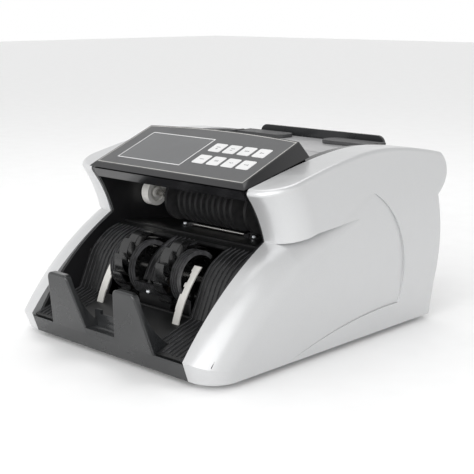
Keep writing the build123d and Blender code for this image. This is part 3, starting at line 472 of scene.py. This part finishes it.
# ---------------------------------------------------------------- new pieces
@dataclass
class Piece:
    """A new visible piece: its name, the body it moves with, its finish and its material slot, which is not
    used.
    """

    name: str
    body: str
    finish: Finish
    slot: str

    def make(self, wardrobe: Wardrobe, shape: Callable[[bmesh.types.BMesh], None]) -> bpy.types.Object:
        """Shapes the piece, closes its mesh and hands it to its body.

        Args:
            wardrobe: where its finish comes from.
            shape: function that fills the empty bmesh.

        Returns:
            The finished object.
        """
        bm = bmesh.new()
        shape(bm)
        bmesh.ops.remove_doubles(bm, verts=bm.verts, dist=MERGE_DISTANCE)
        bmesh.ops.recalc_face_normals(bm, faces=bm.faces)
        mesh = bpy.data.meshes.new(self.name)
        bm.to_mesh(mesh)
        bm.free()
        mesh.shade_smooth()
        mesh.set_sharp_from_angle(angle=SHARP_ANGLE)
        thing = bpy.data.objects.new(self.name, mesh)
        bpy.context.scene.collection.objects.link(thing)
        wardrobe.dress(thing, self.finish)
        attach(thing, self.body)
        log.info("%s rides on %s", self.name, self.body)
        return thing


@dataclass
class Softened:
    """A packed moulding shown with its outside edges rounded, as the mould leaves them."""

    node: str
    finish: Finish
    slot: str
    body: str = "housing"
    radius: float = 0.0004
    segments: int = 3

    def build(self, wardrobe: Wardrobe) -> None:
        """Rounds a merged copy of the node and shows it in the node's place.

        Args:
            wardrobe: where its finish comes from.
        """
        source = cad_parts[self.node].data

        def shape(bm: bmesh.types.BMesh) -> None:
            """Merges the copy, joins its flat triangles and rounds its sharp edges."""
            bm.from_mesh(source)
            bmesh.ops.remove_doubles(bm, verts=bm.verts, dist=MERGE_DISTANCE)
            bmesh.ops.dissolve_limit(bm, angle_limit=FLAT_ANGLE, verts=bm.verts, edges=bm.edges)
            sharp = [e for e in bm.edges if e.is_manifold and e.calc_face_angle(0.0) > SHARP_ANGLE]
            bmesh.ops.bevel(bm, geom=sharp, offset=self.radius, affect="EDGES", segments=self.segments,
                            profile=0.5, material=-1, clamp_overlap=True)

        thing = Piece(f"{self.node}_moulding", self.body, self.finish, self.slot).make(wardrobe, shape)
        weight = thing.modifiers.new("even_shading", "WEIGHTED_NORMAL")
        weight.keep_sharp = True
        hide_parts(self.node)


@dataclass
class Slope:
    """The tilted face of the control panel, with its own across, along and up directions."""

    tilt: float = math.radians(21.8)
    film_thickness: float = 0.0006

    def matrix(self, across: float = 0.0, along: float = 0.0, lift: float = 0.0) -> Matrix:
        """Place on the slope as a matrix.

        Args:
            across: to the right, in metres.
            along: up the slope from the film's front edge.
            lift: above the film.

        Returns:
            Matrix from the slope's directions to the row frame.
        """
        low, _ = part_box("keypad_overlay")
        origin = Vector((0.0, low.y, low.z + self.film_thickness * math.cos(self.tilt)))
        turn = Matrix.Rotation(self.tilt, 4, "X")
        return Matrix.Translation(origin) @ turn @ Matrix.Translation((across, along, lift))

    def local(self, point: Vector) -> Vector:
        """A row-frame point in the slope's own directions."""
        return self.matrix().inverted() @ point


def plate(
    bm: bmesh.types.BMesh, place: Matrix, size: tuple[float, float], height: float
) -> list[bmesh.types.BMVert]:
    """Adds a thin closed plate whose middle is at a place.

    Args:
        bm: mesh that gets it.
        place: matrix of its middle, on its underside.
        size: its full width and length.
        height: its thickness.

    Returns:
        The plate's corners.
    """
    scale = Matrix.Diagonal((size[0], size[1], height, 1.0))
    lift = Matrix.Translation((0.0, 0.0, height / 2))
    return bmesh.ops.create_cube(bm, size=1.0, matrix=place @ lift @ scale)["verts"]


def bar_round(
    bm: bmesh.types.BMesh, place: Matrix, size: tuple[float, float], height: float, corner: float
) -> None:
    """Adds a plate with rounded corners in plan.

    Args:
        bm: mesh that gets it.
        place: matrix of its middle, on its underside.
        size: its full width and length.
        height: its thickness.
        corner: radius of its corners.
    """
    verts = plate(bm, place, size, height)
    up = place.to_3x3() @ Vector((0.0, 0.0, 1.0))
    edges = {e for v in verts for e in v.link_edges}
    edges = {e for e in edges if abs((e.verts[0].co - e.verts[1].co).normalized().dot(up)) > UPRIGHT}
    bmesh.ops.bevel(bm, geom=list(edges), offset=corner, affect="EDGES", segments=4, profile=0.5, material=-1)


# Each key's sign: bars given as middle across, middle along, width and length, in sign units.
KEY_SIGNS: dict[int, tuple[tuple[float, float, float, float], ...]] = {
    1: ((0, 0.9, 4.2, 0.8), (0, -1.6, 0.8, 2.0), (0, -1.6, 2.0, 0.8)),
    2: ((0, 0.9, 4.2, 0.8), (0, -1.6, 2.2, 0.8)),
    3: ((-1.6, 0, 1.0, 1.6), (0, 0, 1.0, 1.6), (1.6, 0, 1.0, 1.6)),
    4: ((-1.4, 0, 1.0, 2.0), (0.6, 0, 2.6, 0.8)),
    5: ((0, 0, 4.6, 0.8),),
    6: ((-1.2, 0, 0.8, 2.0), (0.2, 0, 0.8, 2.0), (1.6, 0, 0.8, 2.0)),
    7: ((-1.4, 0.2, 1.4, 0.8), (0, -0.3, 1.4, 0.8), (1.4, 0.2, 1.4, 0.8)),
    8: ((-0.6, 0, 3.4, 0.8), (1.8, 0, 0.8, 2.0)),
}


@dataclass
class ControlPanel:
    """Printed window outline, a painted highlight along the rim of the key film and the pictograms on the
    keys.
    """

    wardrobe: Wardrobe
    slope: Slope
    print_height: float = 0.00006
    outline_width: float = 0.0010
    # width and inset of the painted highlight round the key film
    rim_highlight_width: float = 0.0006
    rim_highlight_inset: float = 0.0002
    film_bow: float = 0.005
    bow_steps: int = 24
    sign_unit: float = 0.0011
    sign_lift: float = 0.00025
    sign_corner: float = 0.0002

    def flat_ring(self, bm: bmesh.types.BMesh, low: Vector, high: Vector, bow: float, width: float) -> None:
        """Adds a thin ring on the slope whose back edge may bow out in the middle.

        Args:
            bm: mesh that gets it.
            low: left front corner, in the slope's directions.
            high: right back corner.
            bow: how far the back edge bows out in the middle.
            width: how wide the ring is.
        """
        grid = bmesh.ops.create_grid(bm, x_segments=self.bow_steps, y_segments=1, size=0.5)
        middle = (low.x + high.x) / 2
        for v in grid["verts"]:
            back = v.co.y > 0
            x = low.x + (v.co.x + 0.5) * (high.x - low.x)
            share = (x - middle) / ((high.x - low.x) / 2)
            y = high.y + bow * (1.0 - share * share) if back else low.y
            v.co = Vector((x, y, 0.0))
        bmesh.ops.recalc_face_normals(bm, faces=bm.faces)
        inner = list(bm.faces)
        bmesh.ops.inset_region(bm, faces=inner, thickness=width, use_even_offset=True, use_boundary=True)
        bmesh.ops.delete(bm, geom=inner, context="FACES")
        made = bmesh.ops.extrude_face_region(bm, geom=list(bm.faces))
        lifted = [v for v in made["geom"] if isinstance(v, bmesh.types.BMVert)]
        bmesh.ops.translate(bm, verts=lifted, vec=(0.0, 0.0, self.print_height))
        bmesh.ops.transform(bm, matrix=self.slope.matrix(), verts=bm.verts)

    def window_outline(self) -> None:
        """White printed line round the display window."""
        low, high = (self.slope.local(corner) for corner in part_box("display_window"))
        start, end = Vector((low.x, low.y, 0.0)), Vector((high.x, high.y, 0.0))
        half = Vector((self.outline_width, self.outline_width, 0.0)) / 2
        Piece("window_outline", "housing", WHITE, "key_white").make(
            self.wardrobe, lambda bm: self.flat_ring(bm, start - half, end + half, 0.0, self.outline_width))

    def film_rim_highlight(self) -> None:
        """Thin bright strip that frames the key film: a painted highlight of the bezel's raised edge catching
        the light.
        """
        low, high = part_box("keypad_overlay")
        top = self.slope.local(high)
        start = Vector((low.x + self.rim_highlight_inset, self.rim_highlight_inset, 0.0))
        end = Vector((high.x - self.rim_highlight_inset, top.y - self.film_bow - self.rim_highlight_inset, 0.0))
        # the bright strip round the film is a painted highlight of the bezel's lit edge
        Piece("film_rim_highlight", "housing", BRIGHT, "key_white").make(
            self.wardrobe, lambda bm: self.flat_ring(bm, start, end, self.film_bow, self.rim_highlight_width))

    def pictogram(self, number: int) -> Callable[[bmesh.types.BMesh], None]:
        """Shape of one key's printed sign: plus, minus, bars and dots.

        Args:
            number: the key, 1 to 8.

        Returns:
            Function that fills the sign's bmesh.
        """
        low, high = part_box(f"key_{number}")
        centre = self.slope.local((low + high) / 2)

        def shape(bm: bmesh.types.BMesh) -> None:
            """Adds each bar of the sign."""
            unit = self.sign_unit
            for x, y, width, length in KEY_SIGNS[number]:
                place = self.slope.matrix(centre.x + x * unit, centre.y + y * unit, self.sign_lift)
                bar_round(bm, place, (width * unit, length * unit), self.print_height, self.sign_corner)

        return shape

    def build(self) -> None:
        """Makes every printed piece of the panel and the painted highlight round the key film."""
        self.window_outline()
        self.film_rim_highlight()
        for number in KEY_SIGNS:
            sign = Piece(f"key_{number}_sign", f"button_{number}", LEGEND, "film")
            sign.make(self.wardrobe, self.pictogram(number))


MOULDINGS = (
    Softened("stacker_stopper", BLACK, "black_plastic", radius=0.0010, segments=4),
    Softened("hopper_guide_left", GUIDE, "guide_plastic", "note_guide_left", 0.0006),
    Softened("hopper_guide_right", GUIDE, "guide_plastic", "note_guide_right", 0.0006),
    Softened("hopper_back_board", BLACK, "black_plastic", "note_support", 0.0005),
    Softened("power_rocker", SOCKET, "rocker_plastic", "power_switch", 0.0004),
    *(Softened(f"key_{n}", WHITE, "key_white", f"button_{n}", 0.00012) for n in range(1, 9)),
)


@dataclass
class RearFittings:
    """Cover screws, contact pins of the mains inlet, marks of the rocker and the knob's pointer."""

    wardrobe: Wardrobe
    screw_radius: float = 0.0027
    screw_height: float = 0.0009
    mark_height: float = 0.00008
    screw_sink: float = 0.0001
    screw_across: float = 0.088
    screw_heights: tuple[float, float] = (0.016, 0.104)
    pin_size: tuple[float, float] = (0.0022, 0.0042)
    pin_length: float = 0.0091
    pin_depth: float = 0.0131
    pin_corner: float = 0.0004
    socket_across: float = 0.0137
    pin_spots: tuple[tuple[float, float], ...] = ((0.0, 0.0025), (-0.0064, -0.0025), (0.0064, -0.0025))
    mark_offset: float = 0.0042
    line_size: tuple[float, float] = (0.0007, 0.0028)
    line_corner: float = 0.0002
    ring_radius: float = 0.0014
    ring_width: float = 0.0005
    pointer_offset: float = 0.0045
    pointer_size: tuple[float, float] = (0.0009, 0.0052)
    pointer_corner: float = 0.0003

    def on_back(self, node: str, x: float, z: float) -> Matrix:
        """Place on a node's back face, with Z pointing out of it.

        Args:
            node: the node.
            x: across, in metres.
            z: height.

        Returns:
            Matrix of the place.
        """
        bm = bmesh.new()
        bm.from_mesh(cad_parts[node].data)
        tree = BVHTree.FromBMesh(bm)
        bm.free()
        point, normal, _, _ = tree.ray_cast(Vector((x, 1.0, z)), Vector((0.0, -1.0, 0.0)))
        return Matrix.Translation(point) @ normal.to_track_quat("Z", "Y").to_matrix().to_4x4()

    def screws(self) -> None:
        """Pan-head screws with a round socket."""

        def shape(bm: bmesh.types.BMesh) -> None:
            """Adds every screw head."""
            for x, z in ((x, z) for z in self.screw_heights for x in (-self.screw_across, self.screw_across)):
                place = self.on_back("rear_cover", x, z)
                lift = Matrix.Translation((0.0, 0.0, self.screw_height / 2 - self.screw_sink))
                made = bmesh.ops.create_cone(bm, cap_ends=True, segments=32, radius1=self.screw_radius,
                                             radius2=self.screw_radius * 0.8, depth=self.screw_height,
                                             matrix=place @ lift)
                out = place.to_3x3() @ Vector((0.0, 0.0, 1.0))
                sides = {f for v in made["verts"] for f in v.link_faces}
                top = max(sides, key=lambda f: f.calc_center_median().dot(out))
                bmesh.ops.inset_region(bm, faces=[top], thickness=self.screw_radius * 0.42)
                bmesh.ops.translate(bm, verts=top.verts, vec=out * -self.screw_height * 0.6)

        Piece("rear_screws", "housing", STEEL, "steel").make(self.wardrobe, shape)

    def pins(self) -> None:
        """Three nickel pins in the mains inlet."""
        low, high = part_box("power_inlet")
        middle = (low.z + high.z) / 2
        socket = low.x + self.socket_across
        back = Matrix.Rotation(math.radians(-90), 4, "X")

        def shape(bm: bmesh.types.BMesh) -> None:
            """Adds each pin."""
            for x, z in self.pin_spots:
                place = Matrix.Translation((socket + x, high.y - self.pin_depth, middle + z)) @ back
                bar_round(bm, place, self.pin_size, self.pin_length, self.pin_corner)

        Piece("inlet_pins", "housing", STEEL, "steel").make(self.wardrobe, shape)

    def marks(self) -> None:
        """Line and ring on the rocker, and the knob's pointer."""
        low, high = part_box("power_rocker")
        x, z = (low.x + high.x) / 2, (low.z + high.z) / 2

        def on_and_off(bm: bmesh.types.BMesh) -> None:
            """Adds the line above and the ring below."""
            line = self.on_back("power_rocker", x, z + self.mark_offset)
            bar_round(bm, line, self.line_size, self.mark_height, self.line_corner)
            place = self.on_back("power_rocker", x, z - self.mark_offset)
            disc = bmesh.ops.create_circle(bm, cap_ends=True, segments=32, radius=self.ring_radius,
                                           matrix=place)
            face = disc["verts"][0].link_faces[0]
            bmesh.ops.inset_region(bm, faces=[face], thickness=self.ring_width, use_boundary=True)
            ring = [f for v in disc["verts"] for f in v.link_faces if f is not face]
            bmesh.ops.delete(bm, geom=[face], context="FACES")
            made = bmesh.ops.extrude_face_region(bm, geom=list(dict.fromkeys(ring)))
            up = place.to_3x3() @ Vector((0.0, 0.0, self.mark_height))
            raised = [v for v in made["geom"] if isinstance(v, bmesh.types.BMVert)]
            bmesh.ops.translate(bm, verts=raised, vec=up)

        def pointer(bm: bmesh.types.BMesh) -> None:
            """Adds the pointer line."""
            middle = sum(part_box("thickness_knob"), Vector()) / 2
            place = self.on_back("thickness_knob", middle.x, middle.z + self.pointer_offset)
            bar_round(bm, place, self.pointer_size, self.mark_height, self.pointer_corner)

        Piece("rocker_marks", "power_switch", WHITE, "key_white").make(self.wardrobe, on_and_off)
        Piece("knob_pointer", "adjusting_knob", WHITE, "key_white").make(self.wardrobe, pointer)

    def build(self) -> None:
        """Makes every fitting."""
        self.screws()
        self.pins()
        self.marks()


# ---------------------------------------------------------------- studio
@dataclass
class Lamp:
    """One soft rectangular lamp."""

    name: str
    place: Colour
    size: tuple[float, float]
    power: float
    aim: Colour = (0.0, 0.0, 0.06)

    def hang(self) -> None:
        """Puts the lamp up, turned towards its aim."""
        data = bpy.data.lights.new(self.name, "AREA")
        data.shape = "RECTANGLE"
        data.size, data.size_y = self.size
        data.energy = self.power
        lamp = bpy.data.objects.new(self.name, data)
        lamp.location = self.place
        lamp.rotation_euler = (Vector(self.aim) - Vector(self.place)).to_track_quat("-Z", "Y").to_euler()
        lamp.visible_camera = False
        bpy.context.scene.collection.objects.link(lamp)


@dataclass
class Studio:
    """Pale floor, soft lamps, white surroundings and the camera."""

    wardrobe: Wardrobe
    floor_size: float = 14.0
    bright: float = 1.0
    dim: float = 0.45
    dim_side: Colour = (0.05, 0.25, 0.97)
    dim_from: float = 0.30
    dim_to: float = 0.95
    sun_strength: float = 1.1
    sun_way: Colour = (-0.45, 0.90, -0.60)
    sun_spread: float = math.radians(70)
    eye: Colour = (0.66263, -0.67692, 0.28900)
    forward: Colour = (-0.67665, 0.70481, -0.21302)
    lens: float = 80.37
    sensor: float = 36.0
    near: float = 0.01
    far: float = 60.0

    def floor(self) -> None:
        """Wide plain floor."""
        bm = bmesh.new()
        bmesh.ops.create_grid(bm, x_segments=4, y_segments=4, size=self.floor_size / 2)
        mesh = bpy.data.meshes.new("floor")
        bm.to_mesh(mesh)
        bm.free()
        thing = bpy.data.objects.new("floor", mesh)
        bpy.context.scene.collection.objects.link(thing)
        self.wardrobe.dress(thing, FLOOR)

    def surround(self) -> None:
        """White surroundings that dim overhead and behind, so that the sides keep their shape."""
        world = bpy.data.worlds.new("studio")
        world.use_nodes = True
        tree = world.node_tree
        back = tree.nodes["Background"]
        back.inputs["Color"].default_value = (1.0, 1.0, 1.0, 1.0)
        aim = tree.nodes.new("ShaderNodeVectorMath")
        aim.operation = "DOT_PRODUCT"
        aim.inputs[1].default_value = self.dim_side
        shade = tree.nodes.new("ShaderNodeMapRange")
        for socket, value in ((1, self.dim_from), (2, self.dim_to), (3, self.bright), (4, self.dim)):
            shade.inputs[socket].default_value = value
        tree.links.new(tree.nodes.new("ShaderNodeTexCoord").outputs["Generated"], aim.inputs[0])
        tree.links.new(aim.outputs["Value"], shade.inputs[0])
        tree.links.new(shade.outputs[0], back.inputs["Strength"])
        bpy.context.scene.world = world

    def lights(self) -> None:
        """One broad sun from the front right and two soft lamps."""
        sun = bpy.data.lights.new("broad_sun", "SUN")
        sun.energy, sun.angle = self.sun_strength, self.sun_spread
        lamp = bpy.data.objects.new("broad_sun", sun)
        lamp.rotation_euler = Vector(self.sun_way).to_track_quat("-Z", "Y").to_euler()
        bpy.context.scene.collection.objects.link(lamp)
        for lamp in (
            Lamp("front_lamp", (0.25, -1.6, 0.5), (0.8, 0.6), 8.0),
            Lamp("top_lamp", (-0.3, 0.3, 1.4), (1.0, 1.0), 5.0),
        ):
            lamp.hang()

    def camera(self) -> None:
        """Camera at the front right, looking slightly down."""
        data = bpy.data.cameras.new("camera")
        data.lens = self.lens
        data.sensor_width = self.sensor
        data.clip_start, data.clip_end = self.near, self.far
        thing = bpy.data.objects.new("camera", data)
        thing.location = self.eye
        thing.rotation_euler = Vector(self.forward).to_track_quat("-Z", "Y").to_euler()
        bpy.context.scene.collection.objects.link(thing)
        bpy.context.scene.camera = thing

    def build(self) -> None:
        """Sets the whole studio up."""
        self.floor()
        self.surround()
        self.lights()
        self.camera()
        bpy.context.scene.view_settings.view_transform = "Standard"


def main() -> None:
    """Dresses the frame, adds the fine parts and sets the studio up."""
    logging.basicConfig(level=logging.INFO, format="%(name)s %(message)s")
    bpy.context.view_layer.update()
    wardrobe = Wardrobe()
    wardrobe.dress_frame()
    for moulding in MOULDINGS:
        moulding.build(wardrobe)
    ControlPanel(wardrobe, Slope()).build()
    RearFittings(wardrobe).build()
    Studio(wardrobe).build()


if __name__ == "__main__":
    main()
